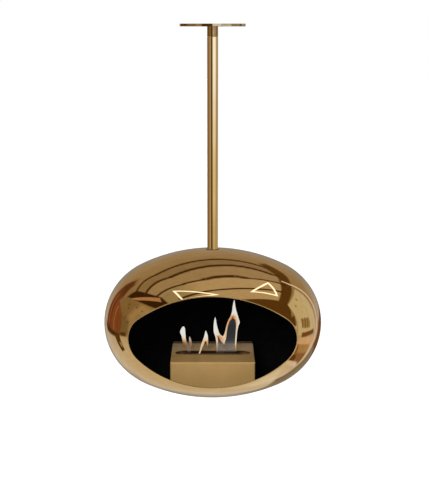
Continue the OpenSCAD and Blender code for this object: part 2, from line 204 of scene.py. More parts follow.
def ring(node, inner, edge, turns=160):
    """A tube or ring as wide and high as its CAD node: a section with rounded edges, half as round at the
    bore, turned once about the Z axis: (r cos t, r sin t, z)."""
    low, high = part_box(node)
    outer = (high[0] - low[0]) / 2
    corners = (edge, edge / 2, edge / 2, edge)
    section = rectangle((outer - inner) / 2, (high[2] - low[2]) / 2, corners, along=0)
    r, z = (section + [(outer + inner) / 2, (high[2] + low[2]) / 2]).T[..., None]
    t = np.linspace(0, 2 * np.pi, turns, endpoint=False)
    return shell(np.stack([r * np.cos(t), r * np.sin(t), z + 0 * t], -1), wrap=True)


def lifted(outline, z):
    """An outline's points at height z, one for all or one each."""
    return np.column_stack([outline, z + np.zeros(len(outline))])


def slab(centre, half_x, half_y, low, high, edge, corner=None, steps=4):
    """A plate: the rectangle's outline, drawn in and lifted row by row round a quarter circle at its lower
    edge and, mirrored, at its upper one."""
    t = np.linspace(0, np.pi / 2, steps + 1)
    inset = np.append(edge + SUPPORT, edge * (1 - np.sin(t)))
    lift = np.append(0, edge * (1 - np.cos(t)))
    rows = []
    for i, z in zip([*inset, *inset[::-1]], [*(low + lift), *(high - lift[::-1])]):
        rows.append(lifted(rectangle(half_x, half_y, corner or 2 * edge, i) + centre, z))
    return shell(np.stack(rows))


# ---- The bowl ----

def arcs(half_width, half_height, end_radius):
    """Radius and centre height of an oval's flat arc, and the angle at which it meets the round end. The two
    touch there, so their centres are as far apart as their radii differ."""
    flat = (half_width**2 + half_height**2 - 2 * half_width * end_radius) / (2 * (half_height - end_radius))
    return flat, half_height - flat, math.atan2(flat - half_height, half_width - end_radius)


def oval_gap(half_width, half_height, end_radius, across, up):
    """Signed distance to an oval of four arcs: the distance to the nearer arc's centre less its radius."""
    flat, centre, meet = arcs(half_width, half_height, end_radius)
    past_end, up = np.abs(across) - (half_width - end_radius), np.abs(up)
    on_end = np.arctan2(up, past_end) <= meet
    return np.where(on_end, np.hypot(past_end, up) - end_radius, np.hypot(across, up - centre) - flat)


def bowl_gap(sizes, points, inset):
    """Signed distance from points, which count from the bowl's middle, to its surface drawn in by inset."""
    across, up = np.hypot(points[..., 0], points[..., 1]), points[..., 2]
    return oval_gap(sizes.bowl_width / 2, sizes.bowl_height / 2, sizes.shoulder, across, up) + inset


def run_inside(gap, shape, far):
    """How far each of an array of rays runs before gap, its distance past a surface, stops being negative:
    the stretch from 0 to far that holds the ray's end is halved again and again."""
    low, high = np.zeros(shape), np.full(shape, far)
    for _ in range(HALVINGS):
        half = (low + high) / 2
        inside = gap(half) < 0
        low, high = np.where(inside, half, low), np.where(inside, high, half)
    return low


def bowl_rows(sizes, inset, rim, shares, angle):
    """Rows of points on the bowl's surface, at shares of the turn from the mouth's rim, itself such a row, to
    the middle of the back, seen from the mouth's middle. Each point is where its ray meets the surface."""
    start = np.array([0, 0, -sizes.mouth_drop])
    seen = rim - start - [0, 0, EQUATOR]
    front = np.arctan2(np.hypot(seen[:, 0], seen[:, 2]), -seen[:, 1])
    turn = front + (np.pi - front) * shares[:, None]
    sideways = np.sin(turn)
    rays = np.stack([sideways * np.cos(angle), -np.cos(turn), sideways * np.sin(angle)], -1)

    def gap(far):
        return bowl_gap(sizes, start + rays * far[..., None], inset)

    reach = run_inside(gap, rays.shape[:2], sizes.bowl_width)
    return start + rays * reach[..., None] + [0, 0, EQUATOR]


def rim_row(sizes, angle, widen, depth):
    """One row along the mouth's edge: the mouth's oval widened by widen, laid on the bowl's surface drawn in
    by depth, as far in front of the bowl's middle plane as it runs inside."""
    oval = sizes.mouth_width / 2 + widen, sizes.mouth_height / 2 + widen, sizes.mouth_end + widen

    def off_edge(far):
        return oval_gap(*oval, far * np.cos(angle), far * np.sin(angle))

    reach = run_inside(off_edge, angle.shape, sizes.bowl_width)
    x, z = reach * np.cos(angle), reach * np.sin(angle) - sizes.mouth_drop

    def off_bowl(far):
        return bowl_gap(sizes, np.stack([x, -far, z], -1), depth)

    return np.stack([x, -run_inside(off_bowl, x.shape, sizes.bowl_width), z + EQUATOR], -1)


def bowl_shell(sizes, columns=360, outer_rows=160, inner_rows=84):
    """The bowl's wall: outer surface, rounded cut edge and inner surface, with a tip at the back of both."""
    angle = np.linspace(0, 2 * np.pi, columns, endpoint=False)
    # rows round the cut edge: how far outside the mouth and how deep in the wall they lie, in millimetres
    cut = [(3.2, 0.0), (2.4, 0.035), (1.65, 0.13), (1.0, 0.3), (0.45, 0.55), (0.12, 0.85), (0.0, 1.15),
           (0.04, 1.34), (0.2, 1.46), (0.45, 1.5)]
    edge = np.stack([rim_row(sizes, angle, widen * MM, depth * MM) for widen, depth in cut])
    layers, tips = [], []
    # row k of n lies at the share (e^(c k/n) - 1) / (e^c - 1) of the turn, c being the crowding at the rim
    for rim, count, inset, crowding in ((edge[0], outer_rows, 0, 2.2), (edge[-1], inner_rows, SHELL, 0.8)):
        share = np.expm1(crowding * np.arange(1, count + 1) / count) / np.expm1(crowding)
        rows = bowl_rows(sizes, inset, rim, share, angle)
        layers.append(rows[:-1])
        tips.append(rows[-1, 0])
    return shell(np.concatenate([layers[0][::-1], edge, layers[1]]), tips=tips)


# ---- The burner box ----

def housing_walls(sizes):
    """The burner housing: its outline carried round a wall section. The lower edge follows the bowl's floor,
    at the height where the bowl, drawn in by the shield and its gaps, is as far from the axis."""
    half = span("burner_housing", 0) / 2
    top, wall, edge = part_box("burner_housing")[1][2], HOUSING_SHEET, 0.3 * MM
    flat, centre, _ = arcs(sizes.bowl_width / 2, sizes.bowl_height / 2, sizes.shoulder)
    t = np.linspace(0, np.pi / 2, 4)
    lip = np.stack([edge * (1 - np.cos(t)), -edge * (1 - np.sin(t))], -1)  # inset and height of the rounding
    lip = np.vstack([[0, -edge - SUPPORT], lip])
    section = [(0, 0, False), (0, SUPPORT, False)] + [(i, z, True) for i, z in lip]
    section += [(wall - i, z, True) for i, z in lip[::-1]] + [(wall, SUPPORT, False), (wall, 0, False)]
    rows = []
    for inset, height, at_top in section:
        outline = rectangle(half, half, sizes.box_edge, inset, along=24)
        r = np.hypot(*outline.T)
        floor = EQUATOR - centre - np.sqrt((flat - HOUSING_GAP) ** 2 - r**2)
        rows.append(lifted(outline, (top if at_top else floor) + height))
    return shell(np.stack(rows), wrap=True)


def deck_plate(sizes):
    """The deck: a closed section carried round from the slot's edge to the outer edge and back underneath.
    The outer edge's radius goes from small at front and back to deck_edge at the sides, by the square of the
    outline's direction. The slot's edge is as far from its straight middle line as its own radius."""
    half, small = span("burner_deck", 0) / 2, 0.5 * MM
    outline = rectangle(half, half, 1.4 * MM, along=40)
    angle = np.arctan2(outline[:, 1], outline[:, 0])
    ahead = np.roll(outline, -1, 0) - np.roll(outline, 1, 0)
    sideways = (ahead[:, 1] / np.hypot(*ahead.T)) ** 2
    edge = small + (sizes.deck_edge - small) * sideways

    def slot_row(widen, z):
        def gap(far):
            past_end = np.maximum(np.abs(far * np.cos(angle)) - (sizes.slot_length - sizes.slot_width) / 2, 0)
            return np.hypot(past_end, far * np.sin(angle)) - sizes.slot_width / 2 - widen

        reach = run_inside(gap, angle.shape, sizes.slot_length)
        return lifted(np.stack([reach * np.cos(angle), reach * np.sin(angle)], -1), z)

    def outer_row(share, drop):
        """A row drawn in by one share of the edge's radius and lowered by another."""
        return lifted(outline * (1 - share * edge[:, None] / half), DECK_TOP - edge * drop)

    t = np.linspace(0, np.pi / 2, 7)
    top_in = slot_row(small + SUPPORT, DECK_TOP)
    top_out = outer_row(1 + SUPPORT / sizes.deck_edge, 0)
    rows = [slot_row(small * (1 - math.cos(a)), DECK_TOP - small * (1 - math.sin(a))) for a in t]
    rows += [top_in] + [top_in + (top_out - top_in) * s for s in (0.25, 0.5, 0.75)] + [top_out]
    rows += [outer_row(1 - math.sin(a), 1 - math.cos(a)) for a in t]
    under = DECK_TOP - DECK_SHEET
    rows += [lifted(outline * (1 - i / half), under + z) for i, z in ((0, 2 * SUPPORT), (0, 0), (SUPPORT, 0))]
    rows += [slot_row(SUPPORT, under), slot_row(0, under), slot_row(0, under + SUPPORT)]
    rows.append(slot_row(0, DECK_TOP - small - SUPPORT))
    return shell(np.stack(rows), wrap=True)


# ---- Flames ----

def smooth_path(controls, count):
    """A smooth line through control rows, at count even steps: between two rows it is a cubic whose slope at
    each is half the step between that row's neighbours."""
    controls = np.asarray(controls, float)
    padded = np.vstack([2 * controls[0] - controls[1], controls, 2 * controls[-1] - controls[-2]])
    t = np.linspace(0, len(controls) - 1 - 1e-9, count)
    i, f = t.astype(int), (t % 1)[:, None]
    a, b, c, d = (padded[i + k] for k in range(4))
    return ((2 * b) + (c - a) * f + (2 * a - 5 * b + 4 * c - d) * f**2 + (3 * b - a - 3 * c + d) * f**3) / 2


def flame_body(controls, gas=False):
    """A tongue of flame, or a film of gas, between two edges: its section at each height is an ellipse.

    A section's points are middle + half width times cos a in X and half depth times sin a in Y. The half
    depth is 4 mm, 2.5 mm for gas, or the half width if that is less. A flame's warmth runs evenly from its
    value at the left edge to that at the right one, and a gas's is |cos a|.
    """
    depth, steps, columns = (2.5, 5, 26) if gas else (4.0, 8, 22)
    line = smooth_path(controls if gas else [[*row, 1, 1, 1][:6] for row in controls], steps * len(controls))
    a = np.linspace(0, 2 * np.pi, columns, endpoint=False)
    left, right, height = line[:, :1], line[:, 1:2], line[:, 2:3]
    half = np.maximum(right - left, 0.2) / 2
    across = np.cos(a)
    section = (left + right) / 2 + half * across, np.minimum(half, depth) * np.sin(a), height + 0 * a
    grid = np.stack(section, -1) * MM + [0, 0, DECK_TOP]
    tips = [grid[k].mean(0) + (grid[k] - grid[near]).mean(0) / 4 for k, near in ((0, 1), (-1, -2))]
    if gas:
        warmth, warm_tips = np.abs(across) + 0 * left, [1, 1]
    else:
        warmth = line[:, 3:4] + (line[:, 4:5] - line[:, 3:4]) * (1 + across) / 2
        warm_tips = warmth[[0, -1]].mean(1)
    opacity = line[:, -1:] + 0 * across
    return shell(grid, tips=tips), np.append(warmth, warm_tips), np.append(opacity, line[[0, -1], -1])


# Each flame's tongues, by rows of left x, right x and z above the deck in millimetres, warmth at the left and
# at the right edge, and opacity. Values that a row leaves out are 1.
FLAMES = {
    "flame_1": [[
        (-97.7, -94.7, 87.9), (-101.3, -92.4, 84.2), (-104.9, -90.8, 77.9), (-107.3, -90.2, 69.4),
        (-105.3, -89.9, 62.7), (-102.7, -89.2, 56, 0.8, 0.85), (-100.5, -88.3, 45.9, 0.56, 0.68, 0.8),
        (-98.8, -86, 35.8, 0.25, 0.5, 0.42), (-95.9, -83.4, 25.7, 0.15, 0.35, 0.12),
        (-90.4, -79.5, 8.8, 0.1, 0.3, 0.04),
    ]],
    "flame_2": [[
        (-76.7, -75.9, 55.3, 0.9, 0.9, 0.15), (-77.7, -73.0, 49.3, 0.9, 0.8, 0.33),
        (-77.7, -70.6, 42.5, 0.85, 0.5, 0.36), (-76.8, -68.9, 35.8, 0.6, 0.35, 0.3),
        (-75.8, -68.2, 29, 0.4, 0.3, 0.2), (-73.9, -67, 18.9, 0.2, 0.2, 0.05),
    ]],
    "flame_3": [[
        (-23.1, -21.8, 73.5), (-25.7, -19.1, 66.1), (-27, -16.8, 59.4), (-29, -15.9, 52.6, 0.85, 0.9),
        (-31.3, -15.4, 45.9, 0.7, 0.7), (-33.7, -15.2, 39.2, 0.62, 0.5),
    ], [
        (-33, -23.4, 40.5, 0.62, 0.3), (-35, -26.1, 35.8, 0.62, 0.5), (-38, -30, 27.4, 0.6, 0.6),
        (-39.9, -34, 18.9, 0.6, 0.6), (-42.3, -37.6, 8.8, 0.62, 0.6), (-44.9, -40.6, 0.4, 0.62, 0.62),
        (-46.2, -41.9, -2.6, 0.6, 0.6, 0.9),
    ], [
        (-23.4, -15.2, 40.5, 0.3, 0.5), (-20.8, -15.2, 34.1, 0.3, 0.4),
        (-19.2, -15.6, 27.4, 0.28, 0.35, 0.7), (-18.5, -16.9, 18.9, 0.2, 0.2, 0.2),
    ]],
    "flame_4": [[
        (7.7, 8.6, 118.8), (5.9, 10.1, 113.1), (4.7, 11.4, 106.4), (3.4, 12.8, 96.3), (2.9, 14.4, 89.6),
        (2.8, 16, 82.9, 1, 0.95), (3.2, 19, 72.8, 1, 0.8), (4.5, 21.6, 66.1, 0.97, 0.7),
        (6.8, 26.3, 58.7, 0.9, 0.6),
    ], [
        (6.5, 16.7, 59.7, 0.9, 0.35), (8.8, 16.7, 52.6, 0.85, 0.4), (10.8, 17.4, 42.5, 0.75, 0.6, 0.85),
        (11.5, 17.4, 29, 0.65, 0.55, 0.4), (11.5, 16.7, 15.6, 0.6, 0.5, 0.12),
        (12.1, 16.1, 2, 0.6, 0.5, 0.05),
    ], [
        (16.1, 25.9, 59.7, 0.25, 0.65), (18, 33.5, 54.3, 0.25, 0.7), (21, 43.4, 49.3, 0.28, 0.7),
        (24.9, 42.1, 42.5, 0.35, 0.7), (30.2, 40.4, 35.8, 0.5, 0.6, 0.9), (34.5, 39.4, 30.4, 0.5, 0.5, 0.5),
        (36.8, 38.5, 25.7, 0.5, 0.5, 0.1),
    ]],
    "flame_5": [[
        (70.2, 71.4, 176.6), (67.5, 72.7, 166.6), (65.2, 74.7, 153.3), (63.9, 77.7, 139.9),
        (62, 79.8, 133, 0.95),
    ], [
        (62, 69.8, 133, 0.95, 0.97), (60.3, 67.4, 126.5, 0.72, 0.5), (57.2, 66, 120, 0.55, 0.08, 0.9),
        (54.9, 65, 115.4, 0.58, 0.05, 0.85), (53.1, 61.4, 112.1, 0.6, 0.1, 0.95),
        (50.5, 56.4, 106.4, 0.6, 0.15, 0.95), (47.9, 53.6, 99.7, 0.6, 0.22, 0.95),
        (44.5, 49.6, 87.9, 0.62, 0.4, 0.9), (41, 46.8, 72.8, 0.65, 0.5, 0.9),
        (38.1, 45.6, 62.7, 0.65, 0.55), (33.5, 44.7, 54.3, 0.7, 0.55), (31.2, 43.4, 48.6, 0.7, 0.6),
    ], [
        (69.8, 79.8, 133, 0.97), (67.4, 81.7, 126.5, 0.5, 0.97), (66, 83.6, 120, 0.1, 0.93, 0.95),
        (67.4, 85, 115.4, 0.2, 0.9), (72.2, 86, 112.1, 0.25, 0.92), (74.8, 87.8, 106.4, 0.38, 0.97),
        (75.8, 88.4, 101, 0.4), (76.5, 87, 96.3, 0.45), (76.6, 83.4, 86.3, 0.5, 0.95, 0.95),
        (75.4, 80.4, 69.4, 0.55, 0.9, 0.8), (74.3, 79.0, 52.6, 0.6, 0.85, 0.9),
        (73.4, 78, 35.8, 0.7, 0.8, 0.8), (73.4, 77.7, 18.9, 0.6, 0.6, 0.3),
        (75.1, 78.4, 3.7, 0.5, 0.5, 0.08),
    ]],
}

# Each film of gas, by rows of left x, right x and z above the deck in millimetres, and opacity.
GAS = {
    "gas_left": [[
        (-86.7, -79.4, 39.2, 0.01), (-86.7, -72.9, 29, 0.07), (-84.8, -71.6, 15.6, 0.08),
        (-82.8, -72.9, 0.4, 0.04),
    ]],
    "gas_middle": [[
        (15.4, 20, 54.3, 0.035), (16.1, 25.3, 45.9, 0.045), (15.4, 32.5, 35.8, 0.07),
        (13.4, 37.8, 25.7, 0.1), (12.1, 38.5, 15.6, 0.1), (12.1, 37.8, 0.4, 0.04),
    ]],
    "gas_right": [[
        (62, 71.2, 113.8, 0.045), (56.1, 75.2, 106.4, 0.042), (51.5, 77.2, 93, 0.036),
        (48.3, 76.2, 76.2, 0.036), (46, 75.3, 59.4, 0.04), (42.4, 74.3, 42.5, 0.055), (39.1, 74, 29, 0.095),
        (37.2, 74.1, 15.6, 0.09), (35.5, 74.7, 2, 0.04),
    ]],
}


# ---- Node trees ----

def wire(tree, kind, *inputs, out=0, **settings):
    """Adds a node, sets or links its first inputs in order (None leaves one alone) and returns an output."""
    node = tree.nodes.new("ShaderNode" + kind)
    for key, value in settings.items():
        setattr(node, key, value)
    for socket, value in zip(node.inputs, inputs):
        if isinstance(value, bpy.types.NodeSocket):
            tree.links.new(value, socket)
        elif value is not None:
            socket.default_value = (*value, 1) if socket.type == "RGBA" else value
    return node.outputs[out] if node.outputs else None


def maths(tree, operation, *inputs, clamp=False):
    return wire(tree, "Math", *inputs, operation=operation, use_clamp=clamp)


def ramp(tree, factor, stops):
    """A colour ramp through (position, colour) stops."""
    node = tree.nodes.new("ShaderNodeValToRGB")
    elements = node.color_ramp.elements
    elements.remove(elements[1])
    elements[0].position = stops[0][0]
    for number, (position, value) in enumerate(stops):
        element = elements.new(position) if number else elements[0]
        element.color = (*value, 1)
    tree.links.new(factor, node.inputs[0])
    return node.outputs[0]


def axis(tree, number):
    """One object coordinate: 0 for X, 1 for Y, 2 for Z."""
    return wire(tree, "SeparateXYZ", wire(tree, "TexCoord", out=3), out=number)


def mapped(tree, along):
    """Object coordinates multiplied axis by axis."""
    return wire(tree, "Mapping", wire(tree, "TexCoord", out=3), None, None, along)


def mixed(tree, share, first, second, how="MIX"):
    """Two colours, sockets or plain ones, mixed by the share of the second."""
    unused = [None] * 5
    return wire(tree, "Mix", share, *unused, first, second, out=2, data_type="RGBA", blend_type=how)


def tint(tree, base, factor, low, high):
    """The base colour, darker or lighter by a factor that runs from low to high."""
    return mixed(tree, 1, base, ramp(tree, factor, [(0.3, (low,) * 3), (0.7, (high,) * 3)]), "MULTIPLY")


# ---- Makers of sockets: each takes its values now and a material's node tree later ----

def grain(scale, detail=3.0, roughness=0.5, along=(1, 1, 1)):
    """Noise in object coordinates, drawn out on the axes that along multiplies least."""
    return lambda tree: wire(tree, "TexNoise", mapped(tree, along), None, scale, detail, roughness)


def rings(pitch):
    """The rings of a spun or turned piece: the sine of pitch times the distance from the Z axis."""
    def made(tree):
        distance = wire(tree, "VectorMath", mapped(tree, (1, 1, 0)), operation="LENGTH", out=1)
        return maths(tree, "SINE", maths(tree, "MULTIPLY", distance, pitch))
    return made


def mottled(base, marks, low, high):
    """The base colour times a factor from low to high that follows the marks."""
    return lambda tree: tint(tree, base, marks(tree), low, high)


def spread(marks, low, high):
    """A number from low to high as the marks go from 0.3 to 0.7."""
    return lambda tree: wire(tree, "MapRange", marks(tree), 0.3, 0.7, low, high)


# ---- Materials ----

EVEN = (8, 8, 8)              # satin grain, the same along all axes
SHEET_GRAIN = (4, 220, 220)   # brushed along X


def finish(name, tone, gloss, relief, metallic=1.0, specular=0.5):
    """A material with one Principled shader: makers of its colour and its roughness, and (maker of heights,
    depth in metres) pairs, which are chained as bumps."""
    made = bpy.data.materials.new(name)
    made.use_nodes = True
    tree = made.node_tree
    shader = next(n for n in tree.nodes if n.type == "BSDF_PRINCIPLED")
    normal = None
    for heights, depth in relief:
        normal = wire(tree, "Bump", 1.0, depth, None, heights(tree), normal)
    for key, socket in (("Base Color", tone(tree)), ("Roughness", gloss(tree)), ("Normal", normal)):
        tree.links.new(socket, shader.inputs[key])
    for key, value in (("Metallic", metallic), ("Specular IOR Level", specular)):
        shader.inputs[key].default_value = value
    return made


def polished_brass(name, base):
    """Mirror-polished brass: a faint haze of polishing cloth, rings left by the spinning, and a slow waviness
    of the wall that bends straight reflections a little."""
    return finish(
        name, mottled(base, grain(5), 0.97, 1.03), spread(grain(26, 5, 0.65), 0.018, 0.05),
        [(grain(7, 1.5), 0.00045), (rings(520.0), 0.0000035)],
    )


def streaks(base, along, low=0.93):
    """The base colour with streaks along the brushing direction."""
    return mottled(base, grain(2, 4, 0.6, along), low, 1.06)


def brushed(name, tone, along, low, high, depth=0.00003, metallic=1.0):
    """Brushed metal: noise drawn out along the brushing direction gives streaks in colour, gloss and height.
    tone is a plain colour, or a maker of one that already has its streaks."""
    return finish(
        name, tone if callable(tone) else streaks(tone, along), spread(grain(2.6, 3, 0.6, along), low, high),
        [(grain(4, 3, 0.7, along), depth)], metallic,
    )


def deck_brass(base, sizes):
    """Satin brass of the deck, paler towards the back as painted light, with painted shade on the slot's
    wall:
    near-black in the middle and brown at the ends. The wall is where the distance from the slot's straight
    middle line is its radius."""
    radius = sizes.slot_width / 2
    straight = (sizes.slot_length - sizes.slot_width) / 2
    lit_from, lit_to = -0.04, 0.134  # where the painted light starts and ends, front to back
    # painted light: a paler colour towards the back; painted shade: near-black on the slot's wall, brown at
    # its ends
    painted_light_colour, slot_shade_middle, slot_shade_end = (0.98, 0.72, 0.41), (0.05, 0.025, 0.01), (0.26, 0.14, 0.055)

    def toned(tree):
        past_end = maths(tree, "SUBTRACT", maths(tree, "ABSOLUTE", axis(tree, 0)), straight)
        past_end = maths(tree, "MAXIMUM", past_end, 0.0)
        place = wire(tree, "CombineXYZ", past_end, axis(tree, 1))
        reach = wire(tree, "VectorMath", place, operation="LENGTH", out=1)
        clear = wire(tree, "MapRange", reach, radius + 0.3 * MM, radius + 1.2 * MM)
        # painted light towards the back of the deck, then painted shade on the slot's wall
        tone = mixed(tree, wire(tree, "MapRange", axis(tree, 1), lit_from, lit_to), base, painted_light_colour)
        slot_shade = mixed(tree, wire(tree, "MapRange", past_end, 0.0, radius), slot_shade_middle, slot_shade_end)
        return mixed(tree, clear, slot_shade, streaks(tone, EVEN)(tree))

    return brushed("deck_brass", toned, EVEN, 0.46, 0.56, 0.00001, 0.25)


def turned(name, base, low=0.20, high=0.34):
    """Metal turned on a lathe: fine rings about the Z axis and a cloudy variation of gloss."""
    relief = [(rings(9000.0), 0.000008)]
    return finish(name, mottled(base, grain(60), 0.92, 1.06), spread(grain(90, 4), low, high), relief)


def rough_steel(name, base, low, high):
    """Sheet or forged steel: mottled colour and gloss, with a fine orange-peel height."""
    relief = [(grain(420), 0.00006)]
    return finish(name, mottled(base, grain(45, 5, 0.6), 0.82, 1.08), spread(grain(70, 4), low, high), relief)


def shield_paint(base):
    """Matte heat-proof paint: fine speckle in height and gloss over a near-black ground."""
    return finish(
        "heatproof_paint", mottled(base, grain(30, 4), 0.7, 1.3), spread(grain(160), 0.72, 0.92),
        [(grain(900, 2), 0.00004)], metallic=0.0, specular=0.12,
    )


def fibre_pad(base):
    """Ceramic fibre: tangled drawn-out noise for the fibres, and soot towards the top."""
    clean, sooty = -1.112, -1.098  # heights where the soot starts and where it is full

    def toned(tree):
        fibres = mottled(base, grain(130, 5, 0.7, (1, 6, 3)), 0.78, 1.1)(tree)
        return mixed(tree, wire(tree, "MapRange", axis(tree, 2), clean, sooty), fibres, (0.045, 0.04, 0.035))

    relief = [(grain(240, 4, 0.7, (1, 7, 3)), 0.0006)]
    return finish("fibre_pad", toned, spread(grain(80), 0.85, 0.98), relief, metallic=0.0)


def heat_tint_and_painted_light_stainless(base):
    """Brushed stainless sheet tinted by heat towards the top, with painted light in the tint: brown near the
    deck's two ends, and painted shade, almost black, between them under the deck. Bare lower down."""
    dark_to, brown_from = 0.086, 0.104   # distances from the middle
    bare, scorched = -1.118, -1.092      # heights where the tint starts and where it is full

    def toned(tree):
        sideways = wire(tree, "MapRange", maths(tree, "ABSOLUTE", axis(tree, 0)), dark_to, brown_from)
        # heat tint with painted light: brown at the deck's ends, painted shade near-black between them
        tint_and_painted_light = mixed(tree, sideways, (0.07, 0.04, 0.018), (0.36, 0.19, 0.07))
        heat = wire(tree, "MapRange", axis(tree, 2), bare, scorched)
        return mixed(tree, heat, streaks(base, SHEET_GRAIN, 0.9)(tree), tint_and_painted_light)

    return brushed("heat_tint_and_painted_light_stainless", toned, SHEET_GRAIN, 0.42, 0.55, metallic=0.4)


def bare_tree(name):
    """A new material and its emptied node tree."""
    made = bpy.data.materials.new(name)
    made.use_nodes = True
    made.node_tree.nodes.clear()
    return made, made.node_tree


def glow(name, stops):
    """A glowing film: an Emission shader over a Transparent one. The point attributes flame_warmth and
    flame_opacity give its colour, along a ramp of stops, and its share."""
    made, tree = bare_tree(name)
    warmth = wire(tree, "Attribute", attribute_name="flame_warmth", out=2)
    share = wire(tree, "Attribute", attribute_name="flame_opacity", out=2)
    light = wire(tree, "Emission", ramp(tree, warmth, stops), 1.0)
    wire(tree, "OutputMaterial", wire(tree, "MixShader", share, wire(tree, "BsdfTransparent"), light))
    return made


def floor_material(base):
    """Pale floor that keeps the object's shadow: a matt surface with a faint grain, lifted to white for the
    camera by as much as the plain light leaves it short."""
    made, tree = bare_tree("studio_floor")
    matt = wire(tree, "BsdfDiffuse", mottled(base, grain(14), 0.985, 1.0)(tree), 0.9)
    lift = wire(tree, "Emission", (1, 1, 1), maths(tree, "MULTIPLY", wire(tree, "LightPath"), 0.48))
    wire(tree, "OutputMaterial", wire(tree, "AddShader", matt, lift))
    return made


# ---- Studio surroundings ----

def sky(*pairs):
    """Unit directions by azimuth, 0 at the camera and growing to the right, and elevation, in degrees."""
    a, e = np.radians(pairs).T
    return list(np.stack([np.sin(a) * np.cos(e), -np.cos(a) * np.cos(e), np.sin(e)], -1))


def patch(left, right, low, high):
    """Corners of an upright card between two azimuths and two elevations."""
    return sky((left, low), (right, low), (right, high), (left, high))


def roof(*pairs):
    """Unit directions to places on a flat ceiling at height 1."""
    rays = np.column_stack([pairs, np.ones(len(pairs))])
    return list(rays / np.linalg.norm(rays, axis=1, keepdims=True))


def bar(start, end, width):
    """Four corners of a straight strip between two directions."""
    side = np.cross(start, end)
    side = side / np.linalg.norm(side) * width / 2
    return [start - side, end - side, end + side, start + side]


def card(tree, place, corners, soft, frame_width=0.0):
    """How far a direction lies inside a flat studio card, 0 to 1.

    Each side of the card is a plane through the eye. The distance inside is the least, over the sides, of the
    direction's dot product with the plane's normal, blurred over the angle soft. With a frame_width only a
    strip of that width along the sides counts.
    """
    middle_ray = sum(corners)
    inside = None
    for here, after in zip(corners, corners[1:] + corners[:1]):
        normal = np.cross(here, after)
        normal = normal / np.linalg.norm(normal) * (1 if normal @ middle_ray > 0 else -1)
        depth = wire(tree, "VectorMath", place, tuple(normal), operation="DOT_PRODUCT", out=1)
        inside = depth if inside is None else maths(tree, "MINIMUM", inside, depth)
    shown = maths(tree, "MULTIPLY_ADD", inside, 1 / soft, 0.5, clamp=True)
    if frame_width:
        beyond = maths(tree, "MULTIPLY_ADD", inside, -1 / soft, 0.5 + frame_width / soft, clamp=True)
        shown = maths(tree, "MULTIPLY", shown, beyond)
    return shown


# The room's plain colour by elevation, behind the cards.
AIR = [
    (-90, (0.92, 0.86, 0.76)), (-45, (0.83, 0.75, 0.64)), (-25, (0.82, 0.75, 0.66)), (-12, (0.68, 0.6, 0.52)),
    (3, (0.52, 0.43, 0.33)), (14, (0.47, 0.35, 0.21)), (45, (0.45, 0.33, 0.19)), (62, (0.48, 0.37, 0.24)),
    (90, (0.6, 0.5, 0.39)),
]

DARK, DARKER = (0.15, 0.076, 0.018), (0.062, 0.028, 0.006)  # beams on the right and on the left

